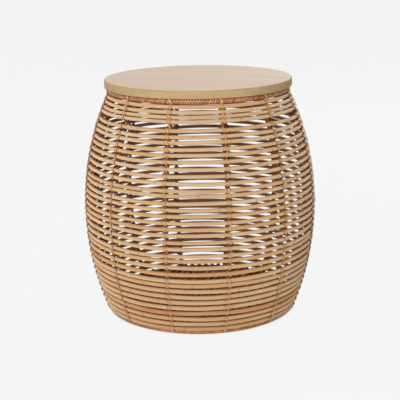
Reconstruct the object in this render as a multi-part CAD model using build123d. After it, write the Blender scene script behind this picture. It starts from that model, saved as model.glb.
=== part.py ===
from build123d import *
import os
from math import asin, cos, degrees, radians, sin, sqrt, tan

# Barrel-shaped storage table: level rattan hoops lashed to upright stakes,
# a slatted floor, bound hoops at rim and foot, and a lift-off wooden lid.
# Millimetres and degrees. Z is up, the front faces -Y, and the origin is the
# middle of the footprint, level with the ground.

# Overall form
TABLE_HEIGHT = 450.0
BELLY_DIAMETER = 450.0
BELLY_HEIGHT = 205.0
RIM_DIAMETER = 350.0
BASE_DIAMETER = 370.0

# Wall of hoops and stakes
HOOP_ROD = 8.0
HOOP_COUNT = 37
RIM_HOOPS = 4
RIM_PITCH = 9.4
STAKE_ROD = 6.0
STAKE_COUNT = 12
STAKE_PHASE = 15.0
SEAT_GAP = 0.3

# Bound hoops at the rim and the foot
RIM_CORE = 8.4
FOOT_CORE = 5.0
BINDING_THICKNESS = 0.9
BINDING_FIT = 0.1
FOOT_FLAT = 0.5

# Cane lashings
LASH_WIDTH = 3.0
LASH_THICKNESS = 0.9
LASH_FIT = 0.35
LASH_SLOPE = 45.0

# Slatted floor
FLOOR_ROD = 6.5
FLOOR_PITCH = 13.2
FLOOR_TURN = 70.0
FLOOR_BAR_ROD = 8.0
FLOOR_BAR_COUNT = 3
FLOOR_BAR_PITCH = 100.0
FLOOR_RING_ROD = 8.0
FLOOR_RING_RISE = 4.0

# Lid with its locating blocks and screws
LID_DIAMETER = 357.0
LID_THICKNESS = 15.0
LID_TOP_EASE = 2.5
LID_UNDER_EASE = 1.0
BLOCK_COUNT = 4
BLOCK_PHASE = 45.0
BLOCK_LENGTH = 45.0
BLOCK_WIDTH = 18.0
BLOCK_HEIGHT = 12.0
BLOCK_EASE = 1.0
BLOCK_PLAY = 3.0
SCREW_DIAMETER = 3.5
SCREW_HEAD = 7.0
SCREW_LENGTH = 20.0
SCREW_TIP = 3.0
SCREW_SPACING = 25.0
SCREW_FIT = 0.1

# Places that follow from those sizes
rim_rod = RIM_CORE + 2 * (BINDING_FIT + BINDING_THICKNESS)
foot_rod = FOOT_CORE + 2 * (BINDING_FIT + BINDING_THICKNESS)
lid_underside = TABLE_HEIGHT - LID_THICKNESS
rim_radius = RIM_DIAMETER / 2 - rim_rod / 2
rim_height = lid_underside - SEAT_GAP - rim_rod / 2
foot_radius = BASE_DIAMETER / 2 - foot_rod / 2
foot_height = foot_rod / 2 - FOOT_FLAT


def seat(rod, other_rod=STAKE_ROD):
    """Distance between the middles of two rods that lie against each other, one of them a stake if not said."""
    return rod / 2 + SEAT_GAP + other_rod / 2


belly_stake_radius = BELLY_DIAMETER / 2 - HOOP_ROD / 2 - seat(HOOP_ROD)


def stake_arc(bound_radius, bound_height, bound_rod):
    """Radius and angle of the stake's arc from the belly, where it is upright, to a bound hoop."""
    inward = belly_stake_radius + seat(bound_rod) - bound_radius
    rise = abs(bound_height - BELLY_HEIGHT)
    bound_arc = (rise**2 + inward**2) / (2 * inward)
    return bound_arc - seat(bound_rod), asin(rise / bound_arc)


upper_arc, upper_angle = stake_arc(rim_radius, rim_height, rim_rod)
lower_arc, lower_angle = stake_arc(foot_radius, foot_height, foot_rod)
lower_length = lower_arc * lower_angle
stake_length = lower_length + upper_arc * upper_angle

# The hoops' places up the stakes: the end hoops lie against the foot and the rim, those next to the rim are
# close together, and the others are spread evenly
first_hoop = seat(foot_rod, HOOP_ROD)
last_hoop = stake_length - seat(rim_rod, HOOP_ROD)
rim_places = [last_hoop - number * RIM_PITCH for number in reversed(range(RIM_HOOPS))]
hoop_pitch = (rim_places[0] - first_hoop) / (HOOP_COUNT - RIM_HOOPS)
hoop_places = [first_hoop + number * hoop_pitch for number in range(HOOP_COUNT - RIM_HOOPS)] + rim_places


def wall_place(along, outward):
    """Radius and height of a point so far up a stake from its foot and so far out from it."""
    from_belly = along - lower_length
    arc = upper_arc if from_belly > 0 else lower_arc
    lean = from_belly / arc
    radius = belly_stake_radius - arc + (arc + outward) * cos(lean)
    return radius, BELLY_HEIGHT + (arc + outward) * sin(lean)


def make_hoop(radius, height, rod):
    """A level hoop of round rod."""
    return Pos(0, 0, height) * Torus(radius, rod / 2)


def make_stake():
    """An upright stake in the XZ plane, bent in two arcs that meet upright at the belly."""
    section = Pos(belly_stake_radius, 0, BELLY_HEIGHT) * Circle(STAKE_ROD / 2)
    upper_axis = Axis((belly_stake_radius - upper_arc, 0, BELLY_HEIGHT), (0, -1, 0))
    lower_axis = Axis((belly_stake_radius - lower_arc, 0, BELLY_HEIGHT), (0, 1, 0))
    upper = revolve(section, upper_axis, degrees(upper_angle))
    lower = revolve(section, lower_axis, degrees(lower_angle))
    return upper + lower


def make_binding(core, radius, height):
    """Cane wound close round the core of a bound hoop, as a sleeve that is flat where it meets the ground."""
    bore = Circle(core / 2 + BINDING_FIT)
    outside = Circle(core / 2 + BINDING_FIT + BINDING_THICKNESS)
    ground = Pos(0, -height) * Rectangle(2 * core, 2 * core, align=(Align.CENTER, Align.MAX))
    return revolve(Plane.XZ * Pos(radius, height) * (outside - bore - ground), Axis.Z)


def stake_turns():
    """The turns about Z that set one stake, or the lashing over it, in each place."""
    return [Rot(0, 0, STAKE_PHASE + number * 360 / STAKE_COUNT) for number in range(STAKE_COUNT)]


def make_lashing(crests, rod, place):
    """A cane strip laced over a row of rods, flat over each one and dipping into the gaps between them.

    The crests are the rods' places along the row, in order. place turns a place along the row, and a distance
    outward from the rods' centres, into a point of the XZ plane.
    """

    def face_points(grow):
        """The points of one face of the strip, so far out from the face that lies on the rods."""
        over = rod / 2 + LASH_FIT + grow
        flat = over * tan(radians(LASH_SLOPE / 2))
        points = [place(crests[0] - flat, over), place(crests[0] + flat, over)]
        for before, crest in zip(crests, crests[1:]):
            half_gap = (crest - before) / 2
            points.append(place(crest - half_gap, over - (half_gap - flat) * tan(radians(LASH_SLOPE))))
            points.append(place(crest - flat, over))
            points.append(place(crest + flat, over))
        return points

    outline = Polyline(*face_points(0), *reversed(face_points(LASH_THICKNESS)), close=True)
    return extrude(Plane.XZ * make_face(outline), LASH_WIDTH / 2, both=True)


def make_wall_lashings():
    """A strip up the wall over each stake, laced over every hoop."""
    strip = make_lashing(hoop_places, HOOP_ROD, lambda along, out: wall_place(along, seat(HOOP_ROD) + out))
    return [around * strip for around in stake_turns()]


def make_floor():
    """The floor's ring, its bars, the rods across them and the strips laced over the rods along each bar."""
    ring_radius, ring_height = wall_place(FLOOR_RING_RISE, -seat(FLOOR_RING_ROD))
    rod_height = ring_height + seat(FLOOR_RING_ROD, FLOOR_ROD)
    bar_height = rod_height - seat(FLOOR_ROD, FLOOR_BAR_ROD)
    ring_inside = ring_radius - FLOOR_RING_ROD / 2 - SEAT_GAP
    ring_outside = ring_radius + FLOOR_RING_ROD / 2
    turned = Rot(0, 0, FLOOR_TURN)

    rods = []
    rows = int((ring_radius - FLOOR_ROD / 2) // FLOOR_PITCH)
    rod_places = [row * FLOOR_PITCH for row in range(-rows, rows + 1)]
    for across in rod_places:
        half = sqrt(ring_outside**2 - (abs(across) + FLOOR_ROD / 2) ** 2)
        rods.append(turned * Pos(0, across, rod_height) * Rot(0, 90, 0) * Cylinder(FLOOR_ROD / 2, 2 * half))

    bars = []
    strips = []
    for number in range(FLOOR_BAR_COUNT):
        along = (number - (FLOOR_BAR_COUNT - 1) / 2) * FLOOR_BAR_PITCH
        half = sqrt(ring_inside**2 - (abs(along) + FLOOR_BAR_ROD / 2) ** 2)
        bar = Rot(90, 0, 0) * Cylinder(FLOOR_BAR_ROD / 2, 2 * half)
        bars.append(turned * Pos(along, 0, bar_height) * bar)
        crests = [across for across in rod_places if abs(across) + FLOOR_PITCH / 2 < half]
        strip = make_lashing(crests, FLOOR_ROD, lambda across, up: (across, rod_height + up))
        strips.append(turned * Pos(along, 0, 0) * Rot(0, 0, 90) * strip)
    return make_hoop(ring_radius, ring_height, FLOOR_RING_ROD), bars, rods, strips


def screw_places():
    """Where each screw enters its block, turned and placed, with the head down."""
    block_middle = block_outer_face() - BLOCK_WIDTH / 2
    return [
        turn * Pos(block_middle, side * SCREW_SPACING / 2, lid_underside - BLOCK_HEIGHT)
        for turn in block_turns()
        for side in (-1, 1)
    ]


def block_turns():
    """The turns about Z that set each locating block."""
    return [Rot(0, 0, BLOCK_PHASE + number * 360 / BLOCK_COUNT) for number in range(BLOCK_COUNT)]


def block_outer_face():
    """How far out a block's outer face lies, so that its corners clear the stakes' tops."""
    clear_radius = wall_place(stake_length, -STAKE_ROD / 2)[0] - BLOCK_PLAY
    return sqrt(clear_radius**2 - (BLOCK_LENGTH / 2) ** 2)


def make_screw(fit):
    """A countersunk wood screw with its head at the origin, or the hole for it when the fit is more than 0."""
    head = SCREW_HEAD / 2 + fit
    shank = SCREW_DIAMETER / 2 + fit
    length = SCREW_LENGTH + fit
    outline = Polyline(
        (0, 0),
        (head, 0),
        (shank, head - shank),
        (shank, length - SCREW_TIP),
        (0, length),
        close=True,
    )
    return revolve(Plane.XZ * make_face(outline), Axis.Z)


def make_lid():
    """The lid's disc and its blocks, drilled for the screws, and the screws."""
    disc = Pos(0, 0, lid_underside + LID_THICKNESS / 2) * Cylinder(LID_DIAMETER / 2, LID_THICKNESS)
    rims = disc.edges().filter_by(GeomType.CIRCLE).sort_by(Axis.Z)
    disc = fillet(rims[-1], LID_TOP_EASE)
    rims = disc.edges().filter_by(GeomType.CIRCLE).sort_by(Axis.Z)
    disc = fillet(rims[0], LID_UNDER_EASE)

    outline = RectangleRounded(BLOCK_WIDTH, BLOCK_LENGTH, BLOCK_EASE)
    block = extrude(Pos(block_outer_face() - BLOCK_WIDTH / 2, 0, lid_underside) * outline, -BLOCK_HEIGHT)
    blocks = [turn * block for turn in block_turns()]

    screws = [place * make_screw(0) for place in screw_places()]
    holes = [place * make_screw(SCREW_FIT) for place in screw_places()]
    disc = disc - holes
    blocks = [block - holes for block in blocks]
    return disc, blocks, screws


def save(name, *pieces):
    """Write one node: a single solid, or a group of separate solids."""
    solids = [solid for piece in pieces for solid in piece.solids()]
    export_step(solids[0] if len(solids) == 1 else Compound(solids), f"parts/{name}.step")


os.makedirs("parts", exist_ok=True)

for number, along in enumerate(hoop_places, start=1):
    save(f"hoop_{number:02d}", make_hoop(*wall_place(along, seat(HOOP_ROD)), HOOP_ROD))

stake = make_stake()
for number, around in enumerate(stake_turns(), start=1):
    save(f"stake_{number:02d}", around * stake)

save("rim_hoop", make_hoop(rim_radius, rim_height, RIM_CORE))
save("rim_binding", make_binding(RIM_CORE, rim_radius, rim_height))
save("foot_hoop", make_hoop(foot_radius, foot_height, FOOT_CORE))
save("foot_binding", make_binding(FOOT_CORE, foot_radius, foot_height))

floor_ring, floor_bars, floor_rods, floor_strips = make_floor()
save("floor_ring", floor_ring)
save("floor_bars", *floor_bars)
save("floor_rods", *floor_rods)
save("cane_lashings", *make_wall_lashings(), *floor_strips)

lid_disc, lid_blocks, lid_screws = make_lid()
save("lid_top", lid_disc)
save("lid_locating_blocks", *lid_blocks)
save("lid_screws", *lid_screws)
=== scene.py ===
"""A barrel-shaped rattan storage table with a lift-off wooden lid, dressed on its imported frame.

Lengths are metres and angles are degrees, unless a name says otherwise. Z is up and the front faces -Y.
"""

import logging
import math
import random
from bisect import bisect
from collections.abc import Callable
from dataclasses import dataclass, field
from enum import Enum

import bpy
from mathutils import Matrix, Vector


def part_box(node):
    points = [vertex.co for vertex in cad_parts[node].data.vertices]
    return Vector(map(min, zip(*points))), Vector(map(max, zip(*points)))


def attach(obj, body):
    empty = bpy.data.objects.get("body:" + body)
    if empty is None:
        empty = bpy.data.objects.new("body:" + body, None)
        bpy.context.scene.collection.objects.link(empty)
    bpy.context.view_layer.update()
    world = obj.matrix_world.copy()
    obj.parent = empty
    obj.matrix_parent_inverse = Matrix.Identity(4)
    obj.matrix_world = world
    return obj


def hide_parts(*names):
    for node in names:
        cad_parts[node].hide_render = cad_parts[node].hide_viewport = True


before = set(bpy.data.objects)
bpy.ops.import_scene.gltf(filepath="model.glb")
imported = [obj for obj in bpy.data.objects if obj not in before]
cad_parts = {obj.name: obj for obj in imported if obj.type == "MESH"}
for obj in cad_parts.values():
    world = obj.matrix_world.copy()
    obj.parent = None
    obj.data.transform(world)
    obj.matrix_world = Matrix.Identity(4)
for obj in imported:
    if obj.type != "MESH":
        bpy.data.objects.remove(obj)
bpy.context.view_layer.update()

log = logging.getLogger("rattan_table")

MM = 0.001
UP = Vector((0.0, 0.0, 1.0))
GRAIN_PLACE = "grain_place"
TONE = "tone"
PAPER = "f6f6f6"
WHITE = "ffffff"
BLACK = "000000"
# Nearly all of a noise pattern's values lie between these
NOISE_LOW = 0.3
NOISE_HIGH = 0.7
# How far round a rod a strand lies before it passes behind the post
FULL_TURN = 105.0
# Edges that are sharper than this stay sharp
ROD_SHARP = math.radians(50)
STRAND_SHARP = math.radians(45)
LID_SHARP = math.radians(30)
# A wave's height beside its neighbours', and how much of their reach the waves take up
WAVE_HEIGHTS = (0.4, 1.0)
WAVE_FILLS = (0.6, 1.0)
# How far out a ring is first spun, and how near its two ends meet, both in radii of its rod
SPIN_REACH = 40
SPIN_MERGE = 0.001

# A point of a line, and the two directions across it
Place = tuple[Vector, Vector, Vector]
# For each vertex of a rod, its share of the way along and its two distances across
Spots = list[tuple[float, float, float]]


class Body(Enum):
    """The two bodies that pieces ride on."""

    BASKET = "basket"
    LID = "lid"


class Slot(Enum):
    """The record's material slots, passed along with new pieces but not given to them."""

    RATTAN_ROD = "rattan_rod"
    CANE_PEEL = "cane_peel"
    LID_WOOD = "lid_wood"


# Finishes


def linear(hex_colour: str) -> tuple[float, float, float, float]:
    """Turn an sRGB colour into the linear values that a shader takes.

    Args:
        hex_colour: six hex digits, red first.

    Returns:
        Red, green, blue and a full alpha.
    """
    shares = [int(hex_colour[start : start + 2], 16) / 255 for start in (0, 2, 4)]
    red, green, blue = [s / 12.92 if s <= 0.04045 else ((s + 0.055) / 1.055) ** 2.4 for s in shares]
    return red, green, blue, 1.0


def per_metre(size_mm: float) -> float:
    """How often a pattern of that size in millimetres repeats in a metre."""
    return 1 / (size_mm * MM)


def add_node(
    tree: bpy.types.NodeTree,
    kind: str,
    settings: dict[str | int, object] | None = None,
    links: dict[str | int, bpy.types.NodeSocket] | None = None,
) -> bpy.types.Node:
    """Add a shader node with its settings and its links.

    Args:
        tree: the material's or the world's node tree.
        kind: the node's type.
        settings: values by the name of a node attribute, or by the name or number of an input. "stops"
            takes a colour ramp's places and colours.
        links: output sockets by the name or number of the input that they feed.

    Returns:
        The new node.
    """
    node = tree.nodes.new(kind)
    for name, value in (settings or {}).items():
        if name == "stops":
            for number, (place, colour) in enumerate(value):
                ramp = node.color_ramp.elements
                stop = ramp[number] if number < len(ramp) else ramp.new(place)
                stop.position = place
                stop.color = colour
        elif isinstance(name, str) and hasattr(node, name):
            setattr(node, name, value)
        else:
            node.inputs[name].default_value = value
    for name, source in (links or {}).items():
        tree.links.new(source, node.inputs[name])
    return node


def seen_share(tree: bpy.types.NodeTree) -> bpy.types.NodeSocket:
    """Tell what the eye sees, straight, mirrored or through glass, from what only gives light.

    Args:
        tree: the material's or the world's node tree.

    Returns:
        A value that is 1 for what is seen and 0 for light.
    """
    path = add_node(tree, "ShaderNodeLightPath").outputs
    seen = path["Is Camera Ray"]
    for ray in ("Is Glossy Ray", "Is Transmission Ray"):
        links = {0: seen, 1: path[ray]}
        seen = add_node(tree, "ShaderNodeMath", {"operation": "MAXIMUM"}, links).outputs[0]
    return seen


@dataclass(frozen=True)
class Finish:
    """A finish by its maker's name, and the material that shows it."""

    name: str

    def material(self) -> bpy.types.Material:
        """The finish's material, made when it is first asked for."""
        known = bpy.data.materials.get(self.name)
        if known:
            return known
        made = bpy.data.materials.new(self.name)
        made.use_nodes = True
        self.dress(made.node_tree, made.node_tree.nodes["Principled BSDF"])
        return made

    def dress(self, tree: bpy.types.NodeTree, shader: bpy.types.Node) -> None:
        """Give the shader its colours and surface.

        Args:
            tree: the material's node tree.
            shader: its principled shader.
        """
        raise NotImplementedError


@dataclass(frozen=True)
class PeeledRattan(Finish):
    """Rattan rod with its skin peeled off, sanded and thinly lacquered.

    It gives the eye pale straw rods with a soft sheen, fine fibres along them, some rods that are warmer
    or browner than their neighbours, and brown painted shade above, below and behind a rod.
    """

    pale: str = "ccb28d"
    warm: str = "c59662"
    brown: str = "9c5020"
    warm_tone: float = 0.62
    rod_mm: float = 8.0
    # Real fibres are finer: these are drawn as coarse as they need to be to show
    fibre_mm: float = 1.1
    fibre_length_mm: float = 70.0
    fibre_shades: tuple[float, float] = (0.8, 1.06)
    patch_mm: float = 160.0
    patch_strength: float = 1.1
    patch_shift: float = -0.52
    knuckle_spacing_mm: float = 310.0
    knuckle_waver_mm: float = 12.0
    knuckle_span: tuple[float, float, float] = (0.488, 0.5, 0.507)
    knuckle_stain: str = "b0b0b0"
    # Painted shade: where it begins and ends above, below and behind a rod, in half rods, and how dark it is
    painted_edge_shade_span: tuple[float, float] = (0.75, 1.0)
    painted_edge_shade: float = 0.9
    painted_back_shade_span: tuple[float, float] = (-0.1, -0.8)
    painted_back_shade: float = 0.6
    roughness: float = 0.48
    dulling: float = 0.1
    fuzz: float = 1.0
    gloss: float = 0.3
    relief: float = 0.25
    relief_mm: float = 0.2

    def dress(self, tree: bpy.types.NodeTree, shader: bpy.types.Node) -> None:
        """Mix tone, patches, fibres, knuckles and painted shade along the rod.

        Args:
            tree: the material's node tree.
            shader: its principled shader.
        """
        place = add_node(tree, "ShaderNodeAttribute", {"attribute_name": GRAIN_PLACE}).outputs["Vector"]
        tone = add_node(tree, "ShaderNodeAttribute", {"attribute_name": TONE}).outputs["Fac"]
        across = per_metre(self.fibre_mm)
        drawn_out = {"Scale": (per_metre(self.fibre_length_mm), across, across)}
        stretched = add_node(tree, "ShaderNodeMapping", drawn_out, {"Vector": place}).outputs["Vector"]
        fine = {"Scale": 1.0, "Detail": 3.0, "Roughness": 0.6}
        fibres = add_node(tree, "ShaderNodeTexNoise", fine, {"Vector": stretched}).outputs["Fac"]
        wide = {"Scale": per_metre(self.patch_mm), "Detail": 2.0}
        patches = add_node(tree, "ShaderNodeTexNoise", wide, {"Vector": place}).outputs["Fac"]
        spread = {"operation": "MULTIPLY_ADD", 1: self.patch_strength, 2: self.patch_shift}
        toned = add_node(tree, "ShaderNodeMath", spread, {0: patches})
        warmth = add_node(tree, "ShaderNodeMath", {"operation": "ADD"}, {0: tone, 1: toned.outputs[0]})
        stops = [(0.0, linear(self.pale)), (self.warm_tone, linear(self.warm)), (1.0, linear(self.brown))]
        base = add_node(tree, "ShaderNodeValToRGB", {"stops": stops}, {"Fac": warmth.outputs[0]})

        # Knuckles, the rings where the vine's leaves grew
        along, outward, upward = add_node(tree, "ShaderNodeSeparateXYZ", {}, {"Vector": place}).outputs
        waver = {"operation": "MULTIPLY_ADD", 1: self.knuckle_waver_mm * MM}
        bent = add_node(tree, "ShaderNodeMath", waver, {0: fibres, 2: along})
        spacing = {"operation": "MULTIPLY", 1: per_metre(self.knuckle_spacing_mm)}
        counted = add_node(tree, "ShaderNodeMath", spacing, {0: bent.outputs[0]})
        within = add_node(tree, "ShaderNodeMath", {"operation": "FRACT"}, {0: counted.outputs[0]})
        none = linear(BLACK)
        start, middle, end = self.knuckle_span
        ring = [(0.0, none), (start, none), (middle, linear(self.knuckle_stain)), (end, none)]
        knuckles = add_node(tree, "ShaderNodeValToRGB", {"stops": ring}, {"Fac": within.outputs[0]})

        # Painted shade above and below a rod, where its neighbours shade it, and on its inner side
        half = self.rod_mm * MM / 2
        off_middle = add_node(tree, "ShaderNodeMath", {"operation": "ABSOLUTE"}, {0: upward}).outputs[0]
        knuckles_and_painted_shade = knuckles.outputs["Color"]
        edges = (self.painted_edge_shade_span, self.painted_edge_shade, off_middle)
        back = (self.painted_back_shade_span, self.painted_back_shade, outward)
        for (start, end), shade_strength, where in (edges, back):
            reach = {"From Min": start * half, "From Max": end * half, "To Min": 0.0, "To Max": shade_strength}
            painted_shade = add_node(tree, "ShaderNodeMapRange", reach, {"Value": where})
            links = {0: knuckles_and_painted_shade, 1: painted_shade.outputs["Result"]}
            knuckles_and_painted_shade = add_node(tree, "ShaderNodeMath", {"operation": "MAXIMUM"}, links).outputs[0]
        # The knuckles and the painted shade turn the base towards brown
        brown = {"data_type": "RGBA", 7: linear(self.brown)}
        knuckled_and_shaded = add_node(tree, "ShaderNodeMix", brown, {0: knuckles_and_painted_shade, 6: base.outputs["Color"]})
        dark, light = self.fibre_shades
        shades = {"From Min": NOISE_LOW, "From Max": NOISE_HIGH, "To Min": dark, "To Max": light}
        streaks = add_node(tree, "ShaderNodeMapRange", shades, {"Value": fibres})
        links = {0: knuckled_and_shaded.outputs[2], "Scale": streaks.outputs["Result"]}
        coloured = add_node(tree, "ShaderNodeVectorMath", {"operation": "SCALE"}, links)

        dull, bright = self.roughness + self.dulling, self.roughness
        sheens = {"From Min": NOISE_LOW, "From Max": NOISE_HIGH, "To Min": dull, "To Max": bright}
        sheen = add_node(tree, "ShaderNodeMapRange", sheens, {"Value": fibres})
        bump = {"Strength": self.relief, "Distance": self.relief_mm * MM}
        raised = add_node(tree, "ShaderNodeBump", bump, {"Height": fibres})
        shader.inputs["Diffuse Roughness"].default_value = self.fuzz
        shader.inputs["Specular IOR Level"].default_value = self.gloss
        tree.links.new(coloured.outputs["Vector"], shader.inputs["Base Color"])
        tree.links.new(sheen.outputs["Result"], shader.inputs["Roughness"])
        tree.links.new(raised.outputs["Normal"], shader.inputs["Normal"])


@dataclass(frozen=True)
class SplitCane(Finish):
    """Split rattan peel with the skin left on, laced or wound wet, and dyed reddish where it is wound.

    It gives the eye thin orange-brown strips, glossier than the rods, with fine lines and painted shadow
    along their edges.
    """

    light: str = "d39059"
    deep: str = "894821"
    # The colour of the painted shadow along a strip's edges, where it begins, and how strong it is
    edge: str = "351708"
    painted_edge_shadow_from: float = 0.25
    painted_edge_shadow_strength: float = 0.92
    strip_mm: float = 3.0
    # Real lines are finer: these are drawn as coarse as they need to be to show
    line_mm: float = 0.5
    line_length_mm: float = 30.0
    line_strength: float = 0.7
    line_shift: float = -0.35
    roughness: float = 0.36
    sheens: tuple[float, float] = (-0.06, 0.12)
    relief: float = 0.2
    relief_mm: float = 0.15

    def dress(self, tree: bpy.types.NodeTree, shader: bpy.types.Node) -> None:
        """Mix the tone of each strip, its lines and the painted shadow along its edges.

        Args:
            tree: the material's node tree.
            shader: its principled shader.
        """
        place = add_node(tree, "ShaderNodeAttribute", {"attribute_name": GRAIN_PLACE}).outputs["Vector"]
        tone = add_node(tree, "ShaderNodeAttribute", {"attribute_name": TONE}).outputs["Fac"]
        sizes = (self.line_length_mm, self.line_mm, self.strip_mm)
        drawn_out = {"Scale": tuple(per_metre(size) for size in sizes)}
        stretched = add_node(tree, "ShaderNodeMapping", drawn_out, {"Vector": place}).outputs["Vector"]
        fine = {"Scale": 1.0, "Detail": 2.0}
        lines = add_node(tree, "ShaderNodeTexNoise", fine, {"Vector": stretched}).outputs["Fac"]
        spread = {"operation": "MULTIPLY_ADD", 1: self.line_strength, 2: self.line_shift}
        lined = add_node(tree, "ShaderNodeMath", spread, {0: lines})
        warmth = add_node(tree, "ShaderNodeMath", {"operation": "ADD"}, {0: tone, 1: lined.outputs[0]})
        stops = [(0.0, linear(self.light)), (1.0, linear(self.deep))]
        base = add_node(tree, "ShaderNodeValToRGB", {"stops": stops}, {"Fac": warmth.outputs[0]})
        side = add_node(tree, "ShaderNodeSeparateXYZ", {}, {"Vector": place}).outputs["Y"]
        off_middle = add_node(tree, "ShaderNodeMath", {"operation": "ABSOLUTE"}, {0: side})
        # Painted shadow darkens each strip towards its edges
        half = self.strip_mm * MM / 2
        start, most = self.painted_edge_shadow_from * half, self.painted_edge_shadow_strength
        reach = {"From Min": start, "From Max": half, "To Min": 0.0, "To Max": most}
        painted_edge_shadow = add_node(tree, "ShaderNodeMapRange", reach, {"Value": off_middle.outputs[0]})
        edge = {"data_type": "RGBA", 7: linear(self.edge)}
        links = {0: painted_edge_shadow.outputs["Result"], 6: base.outputs["Color"]}
        edge_shadowed = add_node(tree, "ShaderNodeMix", edge, links)
        bright, dull = (self.roughness + change for change in self.sheens)
        sheen = add_node(tree, "ShaderNodeMapRange", {"To Min": bright, "To Max": dull}, {"Value": lines})
        bump = {"Strength": self.relief, "Distance": self.relief_mm * MM}
        raised = add_node(tree, "ShaderNodeBump", bump, {"Height": lines})
        tree.links.new(edge_shadowed.outputs[2], shader.inputs["Base Color"])
        tree.links.new(sheen.outputs["Result"], shader.inputs["Roughness"])
        tree.links.new(raised.outputs["Normal"], shader.inputs["Normal"])


@dataclass(frozen=True)
class PlanedWood(Finish):
    """Pale softwood, planed, sanded and matt lacquered.

    It gives the eye a quiet beige face with long faint grain bands, short pores and a dull sheen.
    """

    pale: str = "dac6b2"
    grain: str = "cab398"
    pore: str = "ad9376"
    turn: float = 20.0
    band_mm: float = 16.0
    band_length_mm: float = 420.0
    band_span: tuple[float, float] = (0.38, 0.68)
    # Real pores are finer: these are drawn as coarse as they need to be to show
    pore_mm: float = 0.9
    pore_length_mm: float = 22.0
    pore_span: tuple[float, float] = (0.56, 0.8)
    contrast: float = 0.6
    roughness: float = 0.62
    sheens: tuple[float, float] = (-0.05, 0.1)
    gloss: float = 0.15
    relief: float = 0.12
    relief_mm: float = 0.1

    def dress(self, tree: bpy.types.NodeTree, shader: bpy.types.Node) -> None:
        """Mix the grain bands and the pores along one direction of the board.

        Args:
            tree: the material's node tree.
            shader: its principled shader.
        """
        place = add_node(tree, "ShaderNodeTexCoord").outputs["Object"]
        turn = {"Rotation": (0.0, 0.0, math.radians(self.turn))}
        turned = add_node(tree, "ShaderNodeMapping", turn, {"Vector": place}).outputs["Vector"]
        across = per_metre(self.band_mm)
        drawn_out = {"Scale": (per_metre(self.band_length_mm), across, across)}
        stretched = add_node(tree, "ShaderNodeMapping", drawn_out, {"Vector": turned}).outputs["Vector"]
        wavy = {"Scale": 1.0, "Detail": 4.0, "Roughness": 0.6, "Distortion": 0.4}
        bands = add_node(tree, "ShaderNodeTexNoise", wavy, {"Vector": stretched}).outputs["Fac"]
        across = per_metre(self.pore_mm)
        drawn_out = {"Scale": (per_metre(self.pore_length_mm), across, across)}
        stretched = add_node(tree, "ShaderNodeMapping", drawn_out, {"Vector": turned}).outputs["Vector"]
        fine = {"Scale": 1.0, "Detail": 1.0}
        pores = add_node(tree, "ShaderNodeTexNoise", fine, {"Vector": stretched}).outputs["Fac"]
        patterns = ((bands, self.band_span, self.grain), (pores, self.pore_span, self.pore))
        under: dict[int, bpy.types.NodeSocket] = {}
        for pattern, (start, end), darker in patterns:
            reach = {"From Min": start, "From Max": end, "To Min": 0.0, "To Max": self.contrast}
            share = add_node(tree, "ShaderNodeMapRange", reach, {"Value": pattern}).outputs["Result"]
            shades = {"data_type": "RGBA", 6: linear(self.pale), 7: linear(darker)}
            grained = add_node(tree, "ShaderNodeMix", shades, {0: share, **under}).outputs[2]
            under = {6: grained}
        bright, dull = (self.roughness + change for change in self.sheens)
        sheen = add_node(tree, "ShaderNodeMapRange", {"To Min": bright, "To Max": dull}, {"Value": pores})
        bump = {"Strength": self.relief, "Distance": self.relief_mm * MM}
        raised = add_node(tree, "ShaderNodeBump", bump, {"Height": pores})
        shader.inputs["Specular IOR Level"].default_value = self.gloss
        tree.links.new(grained, shader.inputs["Base Color"])
        tree.links.new(sheen.outputs["Result"], shader.inputs["Roughness"])
        tree.links.new(raised.outputs["Normal"], shader.inputs["Normal"])


@dataclass(frozen=True)
class ZincedSteel(Finish):
    """Zinc-plated steel screws, tumbled after plating.

    It gives the eye a soft grey shine with slightly duller flecks.
    """

    zinc: str = "b9bcbd"
    dull: str = "8d9193"
    fleck_mm: float = 1.2
    fleck_span: tuple[float, float] = (0.35, 0.65)
    roughness: float = 0.34
    sheens: tuple[float, float] = (0.1, -0.1)

    def dress(self, tree: bpy.types.NodeTree, shader: bpy.types.Node) -> None:
        """Mix bright and dull zinc in flecks.

        Args:
            tree: the material's node tree.
            shader: its principled shader.
        """
        place = add_node(tree, "ShaderNodeTexCoord").outputs["Object"]
        small = {"Scale": per_metre(self.fleck_mm), "Detail": 2.0}
        flecks = add_node(tree, "ShaderNodeTexNoise", small, {"Vector": place}).outputs["Fac"]
        start, end = self.fleck_span
        stops = [(start, linear(self.dull)), (end, linear(self.zinc))]
        base = add_node(tree, "ShaderNodeValToRGB", {"stops": stops}, {"Fac": flecks})
        dull, bright = (self.roughness + change for change in self.sheens)
        sheen = add_node(tree, "ShaderNodeMapRange", {"To Min": dull, "To Max": bright}, {"Value": flecks})
        shader.inputs["Metallic"].default_value = 1.0
        tree.links.new(base.outputs["Color"], shader.inputs["Base Color"])
        tree.links.new(sheen.outputs["Result"], shader.inputs["Roughness"])


ROD_FINISH = PeeledRattan("peeled_rattan_lacquered")
CANE_FINISH = SplitCane("split_cane_dyed")
LASHING_FINISH = SplitCane(
    "split_cane_natural",
    light="d3a068",
    deep="84471f",
    edge="45200b",
    painted_edge_shadow_from=0.5,
    strip_mm=4.6,
)
LID_FACE_FINISH = PlanedWood("pine_planed_lacquered")
# The edge is the face's wood with its grain running round, in a darker, warmer colour that is painted shade
LID_SHADED_EDGE_FINISH = PlanedWood(
    "pine_edge_turned_painted_shade",
    pale="b19870",
    grain="a3825a",
    pore="92724c",
    turn=0.0,
    pore_length_mm=60.0,
)
BLOCK_FINISH = PlanedWood("pine_offcut_sawn", pale="cfab7b", grain="b98f5e", pore="9a7145", turn=45.0)
SCREW_FINISH = ZincedSteel("steel_zinc_plated")


# Shaping helpers


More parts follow.
